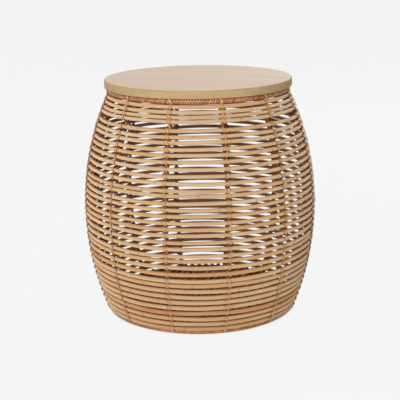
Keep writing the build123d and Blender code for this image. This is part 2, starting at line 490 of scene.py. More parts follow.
def select_only(piece: bpy.types.Object) -> None:
    """Make a piece the one that operators act on."""
    bpy.ops.object.select_all(action="DESELECT")
    piece.select_set(True)
    bpy.context.view_layer.objects.active = piece


def finish_piece(
    piece: bpy.types.Object,
    name: str,
    body: Body,
    slot: Slot,
    finish: Finish,
    *nodes: str,
) -> None:
    """Name a piece, dress it and tie it to the frame.

    Args:
        piece: the finished mesh, at the origin.
        name: the piece's name.
        body: the body that it moves with.
        slot: the record's material slot that it belongs to; not used.
        finish: its finish.
        nodes: the CAD nodes that it stands for.
    """
    piece.name = name
    piece.data.name = name
    if not piece.data.materials:
        piece.data.materials.append(finish.material())
    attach(piece, body.value)
    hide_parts(*nodes)
    log.info("%s: %d faces", name, len(piece.data.polygons))


def dress_node(node: str, finish: Finish) -> None:
    """Give a CAD node that stays a finish of its own."""
    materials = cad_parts[node].data.materials
    materials.clear()
    materials.append(finish.material())
    log.info("%s: dressed", node)


def grain_places(spots: Spots, start: float, length: float) -> list[Vector]:
    """Where a rod's vertices lie in its grain, which begins at a start and is as long as the rod."""
    return [Vector((start + share * length, first, second)) for share, first, second in spots]


def mark_grain(
    piece: bpy.types.Object,
    places: list[Vector],
    tone_at: Callable[[float], float],
    around: float = 0.0,
) -> None:
    """Write where each corner lies along and across its rod or strip, and the tone there.

    Args:
        piece: the mesh.
        places: for each vertex, its distance along the rod, and its two distances across it.
        tone_at: the tone, 0 for pale and 1 for dark, at a distance along.
        around: the length of a rod that closes on itself, or 0.
    """
    mesh = piece.data
    flat_places = []
    tones = []
    for face in mesh.polygons:
        corners = [places[vertex].copy() for vertex in face.vertices]
        longest = max(corner.x for corner in corners)
        for corner in corners:
            if around and longest - corner.x > around / 2:
                corner.x += around
        middle = sum(corner.x for corner in corners) / len(corners)
        for corner in corners:
            flat_places.extend(corner)
            tones.append(tone_at(middle))
    mesh.attributes.new(GRAIN_PLACE, "FLOAT_VECTOR", "CORNER").data.foreach_set("vector", flat_places)
    mesh.attributes.new(TONE, "FLOAT", "CORNER").data.foreach_set("value", tones)


@dataclass(frozen=True)
class Wander:
    """A smooth, seeded, irregular line round a hoop or along a rod, because no rod is bent quite true."""

    waves: tuple[tuple[int, float, float], ...]
    offset: float

    @classmethod
    def roll(cls, dice: random.Random, reach: float, cycles: tuple[int, ...], offset: float) -> "Wander":
        """Draw a line that stays within its reach.

        Args:
            dice: the seeded source of chance.
            reach: the most that the waves may add up to.
            cycles: how many waves go round, for each wave.
            offset: the most that the whole line may be off its place.

        Returns:
            The line.
        """
        heights = [dice.uniform(*WAVE_HEIGHTS) for _ in cycles]
        share = reach * dice.uniform(*WAVE_FILLS) / sum(heights)
        waves = [(n, h * share, dice.uniform(0, math.tau)) for n, h in zip(cycles, heights)]
        return cls(tuple(waves), dice.uniform(-offset, offset))

    def at(self, share: float) -> float:
        """How far off the line is, at a share of the way round from 0 to 1."""
        return self.offset + sum(h * math.sin(n * share * math.tau + p) for n, h, p in self.waves)


def bent_ring(radius: float, rings: int, sides: int) -> tuple[bpy.types.Object, Spots]:
    """Add a ring of rod to be laid along a closed line.

    Args:
        radius: the rod's radius.
        rings: how many sections go round the ring.
        sides: how many sides the rod has.

    Returns:
        The ring, and for each vertex its share of the way round and its two distances across the rod.
    """
    bpy.ops.object.select_all(action="DESELECT")
    middle = SPIN_REACH * radius
    bpy.ops.mesh.primitive_circle_add(
        vertices=sides,
        radius=radius,
        location=(middle, 0.0, 0.0),
        rotation=(math.pi / 2, 0.0, 0.0),
    )
    ring = bpy.context.object
    bpy.ops.object.transform_apply(location=True, rotation=True, scale=True)
    bpy.ops.object.mode_set(mode="EDIT")
    bpy.ops.mesh.select_all(action="SELECT")
    bpy.ops.mesh.spin(steps=rings, angle=math.tau, center=(0.0, 0.0, 0.0), axis=UP)
    bpy.ops.mesh.select_all(action="SELECT")
    bpy.ops.mesh.remove_doubles(threshold=SPIN_MERGE * radius)
    bpy.ops.mesh.normals_make_consistent(inside=False)
    bpy.ops.object.mode_set(mode="OBJECT")
    spots = []
    for vertex in ring.data.vertices:
        step = round(math.atan2(vertex.co.y, vertex.co.x) / math.tau * rings) % rings
        spots.append((step / rings, math.hypot(vertex.co.x, vertex.co.y) - middle, vertex.co.z))
    return ring, spots


def bent_rod(radius: float, cuts: int, sides: int) -> tuple[bpy.types.Object, Spots]:
    """Add a straight rod to be laid along an open line, cut across into short lengths.

    Args:
        radius: the rod's radius.
        cuts: how many cuts are made across it.
        sides: how many sides it has.

    Returns:
        The rod, and for each vertex its share of the way along and its two distances across the rod.
    """
    bpy.ops.object.select_all(action="DESELECT")
    bpy.ops.mesh.primitive_cylinder_add(vertices=sides, radius=radius, depth=1.0, calc_uvs=False)
    rod = bpy.context.object
    for edge in rod.data.edges:
        ends = [rod.data.vertices[vertex].co.z for vertex in edge.vertices]
        edge.select = abs(ends[0] - ends[1]) > 0.5
    for face in rod.data.polygons:
        face.select = False
    bpy.ops.object.mode_set(mode="EDIT")
    bpy.ops.mesh.select_mode(type="EDGE")
    bpy.ops.mesh.subdivide(number_cuts=cuts)
    bpy.ops.object.mode_set(mode="OBJECT")
    return rod, [(vertex.co.z + 0.5, vertex.co.x, vertex.co.y) for vertex in rod.data.vertices]


def lay_along(
    rod: bpy.types.Object,
    spots: Spots,
    place_at: Callable[[float], Place],
    girth_at: Callable[[float], float],
) -> None:
    """Move a rod's sections to their places along a line.

    Args:
        rod: the rod.
        spots: for each vertex, its share of the way along and its two distances across.
        place_at: the line's point and its two directions across, at a share of the way along.
        girth_at: how thick the rod is there, as a share of its thickness.
    """
    known: dict[float, tuple[Place, float]] = {}
    for vertex, (share, first, second) in zip(rod.data.vertices, spots):
        if share not in known:
            known[share] = (place_at(share), girth_at(share))
        (middle, first_way, second_way), girth = known[share]
        vertex.co = middle + (first_way * first + second_way * second) * girth


def radial(angle: float) -> Vector:
    """The level direction away from the table's axis, at an angle in radians from +X."""
    return Vector((math.cos(angle), math.sin(angle), 0.0))


# The wall


@dataclass(frozen=True)
class HoopLine:
    """The centre line of a level hoop."""

    radius: float
    height: float

    @classmethod
    def of_node(cls, node: str, rod: float) -> "HoopLine":
        """Read the centre line of a CAD hoop of so thick a rod from the node's box."""
        low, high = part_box(node)
        return cls((high.x - low.x) / 2 - rod / 2, high.z - rod / 2)


@dataclass
class Wall:
    """The barrel-shaped course of hoops, from the foot at course 0 to the rim, and how each hoop wanders."""

    hoop_rod: float = 8.0 * MM
    rim_rod: float = 10.4 * MM
    foot_rod: float = 7.0 * MM
    stake_rod: float = 6.0 * MM
    seat_gap: float = 0.3 * MM
    stake_count: int = 12
    stake_phase: float = 15.0
    wander_reach: float = 2.0 * MM
    wander_offset: float = 2.3 * MM
    wander_cycles: tuple[int, ...] = (1, 2, 3, 5, 8)
    held_courses: float = 3.0
    even_courses: int = 13
    even_freedom: float = 0.85
    loose_courses: int = 4
    least_gap: float = 0.15 * MM
    steps: int = 288
    passes: int = 12
    seed: int = 381
    lines: list[HoopLine] = field(default_factory=list)
    tracks: list[list[float]] = field(default_factory=list)

    def __post_init__(self) -> None:
        """Read the hoops' lines from the frame and settle where each one runs."""
        names = sorted(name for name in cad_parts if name.startswith("hoop_"))
        self.lines.append(HoopLine.of_node("foot_binding", self.foot_rod))
        self.lines.extend(HoopLine.of_node(name, self.hoop_rod) for name in names)
        self.lines.append(HoopLine.of_node("rim_binding", self.rim_rod))
        self.settle()

    def settle(self) -> None:
        """Let each hoop wander along the wall, and move neighbours apart where they would run together."""
        dice = random.Random(self.seed)
        last = self.last
        wanders = []
        for number in range(last + 1):
            # The hoops beside the foot and the rim lie against them, and so can't wander
            freedom = min(1.0, max(0, min(number, last - number) - 1) / self.held_courses)
            # Below the belly they lie more evenly than above it
            loose = min(1.0, max(0.0, (number - self.even_courses) / self.loose_courses))
            freedom *= self.even_freedom + (1 - self.even_freedom) * loose
            reach, offset = self.wander_reach * freedom, self.wander_offset * freedom
            wanders.append(Wander.roll(dice, reach, self.wander_cycles, offset))
        rooms = [self.gap_above(number) - self.hoop_rod - self.least_gap for number in range(last)]
        for step in range(self.steps):
            places = [wander.at(step / self.steps) for wander in wanders]
            for _ in range(self.passes):
                for low in range(1, last - 1):
                    push = max(0.0, places[low] - places[low + 1] - rooms[low])
                    # The lowest and the highest plain hoop keep their places
                    low_share = 0.0 if low == 1 else 1.0 if low == last - 2 else 0.5
                    places[low] -= push * low_share
                    places[low + 1] += push * (1 - low_share)
            self.tracks.append(places)

    @property
    def last(self) -> int:
        """The rim's course, the last one."""
        return len(self.lines) - 1

    @property
    def hoop_count(self) -> int:
        """How many plain hoops the wall has, without the foot and the rim."""
        return self.last - 1

    def gap_above(self, number: int) -> float:
        """The distance from a hoop's line to the next one's, measured along the wall."""
        low, high = self.lines[number : number + 2]
        return math.hypot(high.radius - low.radius, high.height - low.height)

    def rod_at(self, course: float) -> float:
        """The thickness of the rods at a course: the foot's and the rim's differ from the hoops'."""
        if course < 1:
            return self.foot_rod + (self.hoop_rod - self.foot_rod) * course
        return self.hoop_rod + (self.rim_rod - self.hoop_rod) * max(0.0, course - self.last + 1)

    def spot(self, course: float) -> tuple[float, float]:
        """Radius and height of the hoops' line at any course, whole or between two."""
        below = min(max(int(course), 0), self.last - 1)
        part = course - below
        low, high = self.lines[below], self.lines[below + 1]
        radius = low.radius + (high.radius - low.radius) * part
        return radius, low.height + (high.height - low.height) * part

    def lean(self, course: float) -> tuple[float, float]:
        """The level and upward share of the wall's outward direction at a course."""
        low = self.spot(max(course - 1, 0))
        high = self.spot(min(course + 1, self.last))
        out, up = high[0] - low[0], high[1] - low[1]
        length = math.hypot(out, up)
        return up / length, -out / length

    def course_at(self, number: int, angle: float) -> float:
        """The course where a hoop really runs, at an angle in radians."""
        step, part = divmod(angle / math.tau * self.steps, 1)
        before = self.tracks[int(step) % self.steps][number]
        after = self.tracks[int(step + 1) % self.steps][number]
        offset = before + (after - before) * part
        below = min(max(number - (offset < 0), 0), self.last - 1)
        return number + offset / self.gap_above(below)

    def between_stakes(self, angle: float) -> float:
        """How free a hoop is at an angle in radians: 0 at a stake and 1 halfway to the next one."""
        return math.sin((angle - math.radians(self.stake_phase)) * self.stake_count / 2) ** 2

    def stake_angles(self) -> list[float]:
        """The stakes' angles from +X, in radians."""
        step = 360 / self.stake_count
        return [math.radians(self.stake_phase + number * step) for number in range(self.stake_count)]


@dataclass
class Hoops:
    """The level hoops of the wall."""

    wall: Wall
    rings: int = 144
    sides: int = 10
    least_girth: float = 0.83
    most_girth: float = 0.95
    stout_courses: int = 14
    stout_girth: float = 0.09
    slack: float = 0.15 * MM
    bulge: float = 1.3 * MM
    girth_cycles: tuple[int, ...] = (1, 4, 7)
    bulge_cycles: tuple[int, ...] = (3, 6, 9)
    palest_tone: float = 0.08
    tone_spread: float = 0.46
    spread_lost: float = 0.26
    pale_bias: float = 2.2
    warm_courses: int = 16
    warm_tone: float = 0.18
    grain_apart: float = 3.0
    seed: int = 23

    def build(self) -> None:
        """Bend each hoop along its own wandering line."""
        dice = random.Random(self.seed)
        for number in range(1, self.wall.hoop_count + 1):
            self.bend(number, dice)

    def bend(self, number: int, dice: random.Random) -> None:
        """Bend one hoop.

        Args:
            number: the hoop's number, counted from the foot.
            dice: the seeded source of chance.
        """
        ring, spots = bent_ring(self.wall.hoop_rod / 2, self.rings, self.sides)
        stout = self.stout_girth * min(1.0, max(0.0, 2 - 2 * number / self.stout_courses))
        middle_girth = (self.most_girth + self.least_girth) / 2 + stout
        spread = (self.most_girth - self.least_girth) / 4
        girth = Wander.roll(dice, spread, self.girth_cycles, spread)
        bulge = Wander.roll(dice, self.bulge, self.bulge_cycles, 0.0)
        line = self.wall.lines[number]
        length = math.tau * line.radius
        turn = dice.uniform(0, math.tau)
        tone = self.tone(number, dice)

        def place_at(share: float) -> Place:
            """The hoop's own line at a share of the way round from its joint."""
            angle = share * math.tau + turn
            radius, height = self.wall.spot(self.wall.course_at(number, angle))
            level = radial(angle)
            out = radius - self.slack + bulge.at(share) * self.wall.between_stakes(angle)
            return level * out + UP * height, level, UP

        lay_along(ring, spots, place_at, lambda share: middle_girth + girth.at(share))
        places = grain_places(spots, self.grain_apart * number, length)
        mark_grain(ring, places, lambda along: tone, length)
        bpy.ops.object.shade_smooth()
        name = f"hoop_{number:02d}"
        finish_piece(ring, f"rattan_{name}", Body.BASKET, Slot.RATTAN_ROD, ROD_FINISH, name)

    def tone(self, number: int, dice: random.Random) -> float:
        """Draw a hoop's tone: most are pale, a few are warm or brown, and more of them lower down."""
        warmer = self.warm_tone * max(0.0, 1 - number / self.warm_courses)
        spread = self.tone_spread - self.spread_lost * number / self.wall.hoop_count
        return self.palest_tone + spread * dice.random() ** self.pale_bias + warmer


@dataclass
class Stakes:
    """The upright stakes inside the hoops."""

    wall: Wall
    cuts: int = 56
    sides: int = 10
    # Darker than most hoops: painted shade for the stakes seen in the gaps between them
    tones: tuple[float, float] = (0.6, 0.95)
    grain_start: float = 200.0
    seed: int = 31

    def place_at(self, share: float) -> Place:
        """The line of a stake at angle 0, at a share of the way up from its foot."""
        course = share * self.wall.last
        radius, height = self.wall.spot(course)
        out, up = self.wall.lean(course)
        inward = (self.wall.rod_at(course) + self.wall.stake_rod) / 2 + self.wall.seat_gap
        middle = Vector((radius - out * inward, 0.0, height - up * inward))
        return middle, Vector((out, 0.0, up)), Vector((0.0, 1.0, 0.0))

    def build(self) -> None:
        """Bend one stake and set a copy of it in each place."""
        dice = random.Random(self.seed)
        first, spots = bent_rod(self.wall.stake_rod / 2, self.cuts, self.sides)
        lay_along(first, spots, self.place_at, lambda share: 1.0)
        length = sum(self.wall.gap_above(course) for course in range(self.wall.last))
        for number, angle in enumerate(self.wall.stake_angles(), start=1):
            stake = first.copy()
            stake.data = first.data.copy()
            bpy.context.collection.objects.link(stake)
            stake.data.transform(Matrix.Rotation(angle, 4, "Z"))
            tone = dice.uniform(*self.tones)
            places = grain_places(spots, self.grain_start + number, length)
            mark_grain(stake, places, lambda along, tone=tone: tone)
            select_only(stake)
            bpy.ops.object.shade_smooth_by_angle(angle=ROD_SHARP)
            name = f"stake_{number:02d}"
            finish_piece(stake, f"rattan_{name}", Body.BASKET, Slot.RATTAN_ROD, ROD_FINISH, name)
        bpy.data.objects.remove(first)


# Laced and wound cane


@dataclass(frozen=True)
class Crossing:
    """Where a strand crosses a rod: the rod's middle, its radius, and the directions out, aside and onward.

    The turns say how far round the rod the strand lies, and straight_on that it goes on to the next rod
    without passing behind the post, because the two rods touch.
    """

    middle: Vector
    radius: float
    out: Vector
    aside: Vector
    onward: Vector
    first_turn: float = -FULL_TURN
    last_turn: float = FULL_TURN
    straight_on: bool = False


@dataclass(frozen=True)
class StrandPoint:
    """A point of a strand, the way that its outer face looks, and how far it is tucked in, from 0 to 1."""

    spot: Vector
    out: Vector
    tuck: float


@dataclass
class Lacing:
    """A strand of split cane that is laced over a row of rods and behind the post that carries them."""

    width: float = 4.6 * MM
    thickness: float = 1.1 * MM
    crown: float = 0.45 * MM
    clearance: float = 0.05 * MM
    slant: float = 4.4 * MM
    slants: tuple[float, float] = (0.6, 1.3)
    against: float = 0.15
    against_slant: float = -0.5
    swing_mm: float = 0.6
    front_steps: int = 7
    open_turn: float = 40.0
    tucked_turn: float = 95.0
    # Painted shade added to the tone where a strand is tucked in between the rods
    tucked_shade: float = 0.75
    back_turns: tuple[float, ...] = (-15.0, 30.0, 70.0, 110.0, 150.0, 195.0)

    def strand(
        self,
        crossings: list[Crossing],
        post_radius: float,
        gap: float,
        dice: random.Random,
    ) -> list[StrandPoint]:
        """The points of a strand.

        Args:
            crossings: the rods in order.
            post_radius: the radius of the post behind them.
            gap: the distance between a rod and the post.
            dice: the seeded source of chance.

        Returns:
            The points in order.
        """
        lift = self.thickness / 2 + self.clearance
        points = []
        for number, crossing in enumerate(crossings):
            slant = self.slant * dice.uniform(*self.slants)
            if dice.random() < self.against:
                slant *= self.against_slant
            swing = dice.uniform(-self.swing_mm, self.swing_mm) * MM
            reach = crossing.radius + lift
            for step in range(self.front_steps + 1):
                share = step / self.front_steps
                turn = math.radians(crossing.first_turn + (crossing.last_turn - crossing.first_turn) * share)
                way = crossing.out * math.cos(turn) + crossing.onward * math.sin(turn)
                aside = -slant * math.degrees(turn) / FULL_TURN + swing
                tuck = (abs(math.degrees(turn)) - self.open_turn) / (self.tucked_turn - self.open_turn)
                spot = crossing.middle + way * reach + crossing.aside * aside
                points.append(StrandPoint(spot, way, min(max(tuck, 0.0), 1.0)))
            if crossing.straight_on or number + 1 == len(crossings):
                continue
            following = crossings[number + 1]
            middle = (crossing.middle + following.middle) / 2
            out = (crossing.out + following.out).normalized()
            inward = (crossing.radius + following.radius) / 2 + gap + post_radius
            for back_turn in self.back_turns:
                turn = math.radians(back_turn)
                way = -crossing.aside * math.cos(turn) - out * math.sin(turn)
                points.append(StrandPoint(middle - out * inward + way * (post_radius + lift), way, 1.0))
        return points

    def weave(self, points: list[StrandPoint], tone: float, start: float) -> bpy.types.Object:
        """Lay a flat strip along a strand's points and give it its thickness.

        Args:
            points: the strand's points in order.
            tone: how dark the strip is where it lies open, from 0 to 1.
            start: where its grain begins.

        Returns:
            The strip.
        """
        bpy.ops.object.select_all(action="DESELECT")
        rows = len(points) - 1
        bpy.ops.mesh.primitive_grid_add(x_subdivisions=2, y_subdivisions=rows, size=1.0)
        strip = bpy.context.object
        run = [0.0]
        for before, after in zip(points, points[1:]):
            run.append(run[-1] + (after.spot - before.spot).length)
        places = []
        for vertex in strip.data.vertices:
            # The flat grid runs from -0.5 to 0.5 both ways
            row = round((vertex.co.y + 0.5) * rows)
            side = vertex.co.x
            point = points[row]
            ahead = points[min(row + 1, rows)].spot - points[max(row - 1, 0)].spot
            across = ahead.cross(point.out).normalized()
            raised = point.out * self.crown * (1 - 2 * abs(side))
            vertex.co = point.spot + across * side * self.width + raised
            places.append(Vector((start + run[row], side * self.width, 0.0)))

        def tone_at(along: float) -> float:
            """The tone of the strip so far along it, with painted shade where it is tucked in."""
            row = min(max(bisect(run, along - start), 1), rows)
            return tone + self.tucked_shade * (points[row - 1].tuck + points[row].tuck) / 2

        mark_grain(strip, places, tone_at)
        thicken = strip.modifiers.new("thickness", "SOLIDIFY")
        thicken.thickness = self.thickness
        thicken.offset = 0.0
        bpy.ops.object.modifier_apply(modifier=thicken.name)
        bpy.ops.object.shade_smooth_by_angle(angle=STRAND_SHARP)
        return strip


@dataclass
class WallLashings:
    """The strands that lace every hoop to the stakes."""

    wall: Wall
    lacing: Lacing = field(default_factory=Lacing)
    rim_turn: float = 50.0
    foot_turn: float = 5.0
    touch_turn: float = 62.0
    lid_gap: float = 0.05 * MM
    tones: tuple[float, float] = (0.0, 0.3)
    grain_start: float = 400.0
    grain_apart: float = 5.0
    seed: int = 47

    def crossings(self, angle: float) -> list[Crossing]:
        """The hoops that a strand crosses on its way up the stake at an angle, in radians."""
        level = radial(angle)
        aside = Vector((-math.sin(angle), math.cos(angle), 0.0))
        last = self.wall.last
        found = []
        ends = {
            0: (self.foot_turn, self.touch_turn),
            1: (-self.touch_turn, FULL_TURN),
            last - 1: (-FULL_TURN, self.touch_turn),
            last: (-self.touch_turn, self.rim_turn),
        }
        for number in range(last + 1):
            course = self.wall.course_at(number, angle)
            radius, height = self.wall.spot(course)
            out, up = self.wall.lean(course)
            first_turn, last_turn = ends.get(number, (-FULL_TURN, FULL_TURN))
            found.append(
                Crossing(
                    middle=level * radius + UP * height,
                    radius=self.wall.rod_at(number) / 2,
                    out=level * out + UP * up,
                    aside=aside,
                    onward=-level * up + UP * out,
                    first_turn=first_turn,
                    last_turn=last_turn,
                    straight_on=number in (0, last - 1),
                )
            )
        return found

    def build(self) -> None:
        """Lace a strand up each stake."""
        dice = random.Random(self.seed)
        under_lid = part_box("lid_top")[0].z - self.lid_gap
        for number, angle in enumerate(self.wall.stake_angles(), start=1):
            row = self.crossings(angle)
            points = self.lacing.strand(row, self.wall.stake_rod / 2, self.wall.seat_gap, dice)
            start = self.grain_start + self.grain_apart * number
            strip = self.lacing.weave(points, dice.uniform(*self.tones), start)
            # The lid presses the strands flat where they pass over the rim
            for vertex in strip.data.vertices:
                vertex.co.z = min(vertex.co.z, under_lid)
            name = f"cane_lashing_{number:02d}"
            finish_piece(strip, name, Body.BASKET, Slot.CANE_PEEL, LASHING_FINISH, "cane_lashings")


@dataclass
class Binding:
    """Cane wound close round a bound hoop, turn beside turn, drawn wide enough for the turns to show."""

    node: str
    rod: float
    strip: float = 4.8 * MM
    groove: float = 0.7 * MM
    tilt: float = 2.4 * MM
    # The painted shade under the hoop begins and is full at these turns, in degrees below its outer side
    unshaded_turn: float = 45.0
    fully_shaded_turn: float = 95.0
    tones: tuple[float, float] = (0.0, 0.8)
    depths: tuple[float, float] = (0.5, 1.3)
    parts: int = 4
    sides: int = 12
    seed: int = 61

    def build(self) -> None:
        """Wind the turns, press a groove between each two and tilt them."""
        dice = random.Random(self.seed)
        line = HoopLine.of_node(self.node, self.rod)
        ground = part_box(self.node)[0].z
        length = math.tau * line.radius
        turns = round(length / self.strip)
        ring, spots = bent_ring(self.rod / 2, turns * self.parts, self.sides)
        tones = [dice.uniform(*self.tones) for _ in range(turns + 1)]
        depths = [self.groove * dice.uniform(*self.depths) for _ in range(turns + 1)]
        radius = self.rod / 2
        pitch = length / turns
        places = []
        for vertex, (share, first, second) in zip(ring.data.vertices, spots):
            step = round(share * turns * self.parts)
            turn, part = divmod(step, self.parts)
            press = 1 - depths[turn] / radius if part == 0 else 1.0
            round_rod = math.atan2(second, first)
            angle = (share * length + self.tilt * math.sin(round_rod)) / line.radius
            out = line.radius + first * press
            height = max(line.height + second * press, ground)
            vertex.co = radial(angle) * out + UP * height
            # Painted shade between the turns and under the hoop, drawn by the cane finish's painted edge
            # shadow
            below = (-math.degrees(round_rod) - self.unshaded_turn) / (self.fully_shaded_turn - self.unshaded_turn)
            off_middle = max(abs(part / self.parts - 0.5), 0.5 * min(below, 1.0))
            side = off_middle * CANE_FINISH.strip_mm * MM
            places.append(Vector((share * length, side, round_rod * radius)))
        mark_grain(ring, places, lambda along: tones[int(along / pitch) % turns], length)
        bpy.ops.object.shade_smooth()
        finish_piece(ring, f"wound_{self.node}", Body.BASKET, Slot.CANE_PEEL, CANE_FINISH, self.node)


# The floor


@dataclass
class SlattedFloor:
    """The floor inside the foot: a ring, three bars, rods across them and the strands that lace them."""

    rod: float = 6.5 * MM
    bar_rod: float = 8.0 * MM
    ring_rod: float = 8.0 * MM
    pitch: float = 13.2 * MM
    turn: float = 70.0
    bar_count: int = 3
    bar_pitch: float = 100.0 * MM
    gap: float = 0.3 * MM
    rod_cuts: int = 14
    bend: float = 0.25 * MM
    bend_cycles: tuple[int, ...] = (1, 2, 3)
    girths: tuple[float, float] = (0.93, 1.0)
    # The floor's rods and bars are browner than the wall's: painted shade of the basket's closed inside
    tones: tuple[float, float] = (0.55, 0.95)
    grain_room: float = 50.0
    ring_sections: int = 120
    ring_tone: float = 0.45
    ring_grain: float = 180.0
    strand_tones: tuple[float, float] = (0.1, 0.4)
    strand_grain: float = 600.0
    strand_apart: float = 5.0
    sides: int = 10
    seed: int = 83
    lacing: Lacing = field(default_factory=lambda: Lacing(slant=2.6 * MM))

    def build(self) -> None:
        """Make the ring, the bars, the rods and their lacing."""
        dice = random.Random(self.seed)
        ring_line = HoopLine.of_node("floor_ring", self.ring_rod)
        self.build_ring(ring_line)
        rod_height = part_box("floor_rods")[1].z - self.rod / 2
        bar_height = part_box("floor_bars")[1].z - self.bar_rod / 2
        outside = ring_line.radius + self.ring_rod / 2
        inside = ring_line.radius - self.ring_rod / 2 - self.gap
        rows = int((ring_line.radius - self.rod / 2) / self.pitch)
        rod_places = [row * self.pitch for row in range(-rows, rows + 1)]
        middle_bar = (self.bar_count - 1) / 2
        bar_places = [(number - middle_bar) * self.bar_pitch for number in range(self.bar_count)]
        ways = (self.way(0.0), self.way(90.0))
        rods = [self.lay(self.rod, ways, place, outside, rod_height, dice) for place in rod_places]
        self.join(rods, "floor_rods")
        crosswise = (self.way(90.0), -self.way(0.0))
        bars = [self.lay(self.bar_rod, crosswise, place, inside, bar_height, dice) for place in bar_places]
        self.join(bars, "floor_bars")
        for number, along in enumerate(bar_places, start=1):
            half = math.sqrt(inside**2 - (abs(along) + self.bar_rod / 2) ** 2)
            crossed = [place for place in rod_places if abs(place) + self.pitch / 2 < half]
            row = [self.crossing(along, place, rod_height) for place in crossed]
            points = self.lacing.strand(row, self.bar_rod / 2, self.gap, dice)
            start = self.strand_grain + self.strand_apart * number
            strip = self.lacing.weave(points, dice.uniform(*self.strand_tones), start)
            name = f"cane_floor_lashing_{number}"
            finish_piece(strip, name, Body.BASKET, Slot.CANE_PEEL, LASHING_FINISH, "cane_lashings")

    def way(self, turn: float) -> Vector:
        """A level direction, turned so far from the rods' own."""
        return radial(math.radians(self.turn + turn))

    def crossing(self, along: float, across: float, height: float) -> Crossing:
        """Where a strand crosses a floor rod, so far along the rod."""
        middle = self.way(0.0) * along + self.way(90.0) * across + UP * height
        return Crossing(middle, self.rod / 2, UP, self.way(0.0), self.way(90.0))

    def build_ring(self, line: HoopLine) -> None:
        """Bend the ring that the rods' ends rest on."""
        ring, spots = bent_ring(self.ring_rod / 2, self.ring_sections, self.sides)

        def place_at(share: float) -> Place:
            """The ring's line at a share of the way round."""
            level = radial(share * math.tau)
            return level * line.radius + UP * line.height, level, UP

        lay_along(ring, spots, place_at, lambda share: 1.0)
        length = math.tau * line.radius
        places = grain_places(spots, self.ring_grain, length)
        mark_grain(ring, places, lambda along: self.ring_tone, length)
        bpy.ops.object.shade_smooth()
        finish_piece(ring, "rattan_floor_ring", Body.BASKET, Slot.RATTAN_ROD, ROD_FINISH, "floor_ring")

    def lay(
        self,
        thickness: float,
        ways: tuple[Vector, Vector],
        place: float,
        limit: float,
        height: float,
        dice: random.Random,
    ) -> bpy.types.Object:
        """Lay one straight rod of the floor, slightly bent as a real one is.

        Args:
            thickness: the rod's thickness.
            ways: the directions along the rod and aside of it.
            place: how far aside the rod lies.
            limit: the radius that its ends stay within.
            height: the height of its middle line.
            dice: the seeded source of chance.

        Returns:
            The rod.
        """
        onward, aside = ways
        half = math.sqrt(limit**2 - (abs(place) + thickness / 2) ** 2)
        rod, spots = bent_rod(thickness / 2, self.rod_cuts, self.sides)
        sway = Wander.roll(dice, self.bend, self.bend_cycles, self.bend)

        def place_at(share: float) -> Place:
            """The rod's line at a share of the way along."""
            middle = onward * (2 * share - 1) * half + aside * (place + sway.at(share)) + UP * height
            return middle, aside, UP

        girth = dice.uniform(*self.girths)
        lay_along(rod, spots, place_at, lambda share: girth)
        places = grain_places(spots, dice.uniform(0, self.grain_room), 2 * half)
        tone = dice.uniform(*self.tones)
        mark_grain(rod, places, lambda along: tone)
        bpy.ops.object.shade_smooth_by_angle(angle=ROD_SHARP)
        return rod

    @staticmethod
    def join(rods: list[bpy.types.Object], node: str) -> None:
        """Make one piece of several rods, in place of a CAD node."""
        bpy.ops.object.select_all(action="DESELECT")
        for rod in rods:
            rod.select_set(True)
        bpy.context.view_layer.objects.active = rods[0]
        bpy.ops.object.join()
        finish_piece(rods[0], f"rattan_{node}", Body.BASKET, Slot.RATTAN_ROD, ROD_FINISH, node)


# The lid


@dataclass
class Lid:
    """The lift-off disc of pale wood, with the blocks and screws under it."""

    sides: int = 160
    top_ease: float = 2.5 * MM
    under_ease: float = 1.0 * MM
    ease_steps: int = 3
    face_slope: float = 0.8
    edge_reach: float = 0.01 * MM

    def build(self) -> None:
        """Turn the disc, ease its edges and dress the blocks and screws under it."""
        low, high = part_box("lid_top")
        bpy.ops.object.select_all(action="DESELECT")
        bpy.ops.mesh.primitive_cylinder_add(
            vertices=self.sides,
            radius=(high.x - low.x) / 2,
            depth=high.z - low.z,
            location=(low + high) / 2,
        )
        bpy.ops.object.transform_apply(location=True, rotation=True, scale=True)
        disc = bpy.context.object
        for height, ease in ((high.z, self.top_ease), (low.z, self.under_ease)):
            self.ease_edge(disc, height, ease)
        disc.data.materials.append(LID_FACE_FINISH.material())
        disc.data.materials.append(LID_SHADED_EDGE_FINISH.material())
        # Faces steeper than the face slope take the edge finish, whose darker colour is painted shade
        for face in disc.data.polygons:
            face.material_index = 0 if abs(face.normal.z) > self.face_slope else 1
        bpy.ops.object.shade_smooth_by_angle(angle=LID_SHARP)
        finish_piece(disc, "wooden_lid", Body.LID, Slot.LID_WOOD, LID_FACE_FINISH, "lid_top")
        dress_node("lid_locating_blocks", BLOCK_FINISH)
        dress_node("lid_screws", SCREW_FINISH)

    def ease_edge(self, disc: bpy.types.Object, height: float, ease: float) -> None:
        """Round the disc's edge at a height.

        Args:
            disc: the lid's disc.
            height: the height of the edge.
            ease: how far it is rounded.
        """
        for edge in disc.data.edges:
            ends = [disc.data.vertices[vertex].co for vertex in edge.vertices]
            edge.select = all(abs(end.z - height) < self.edge_reach for end in ends)
        for face in disc.data.polygons:
            face.select = False
        bpy.ops.object.mode_set(mode="EDIT")
        bpy.ops.mesh.select_mode(type="EDGE")
        bpy.ops.mesh.bevel(offset=ease, segments=self.ease_steps, affect="EDGES")
        bpy.ops.object.mode_set(mode="OBJECT")


# The studio


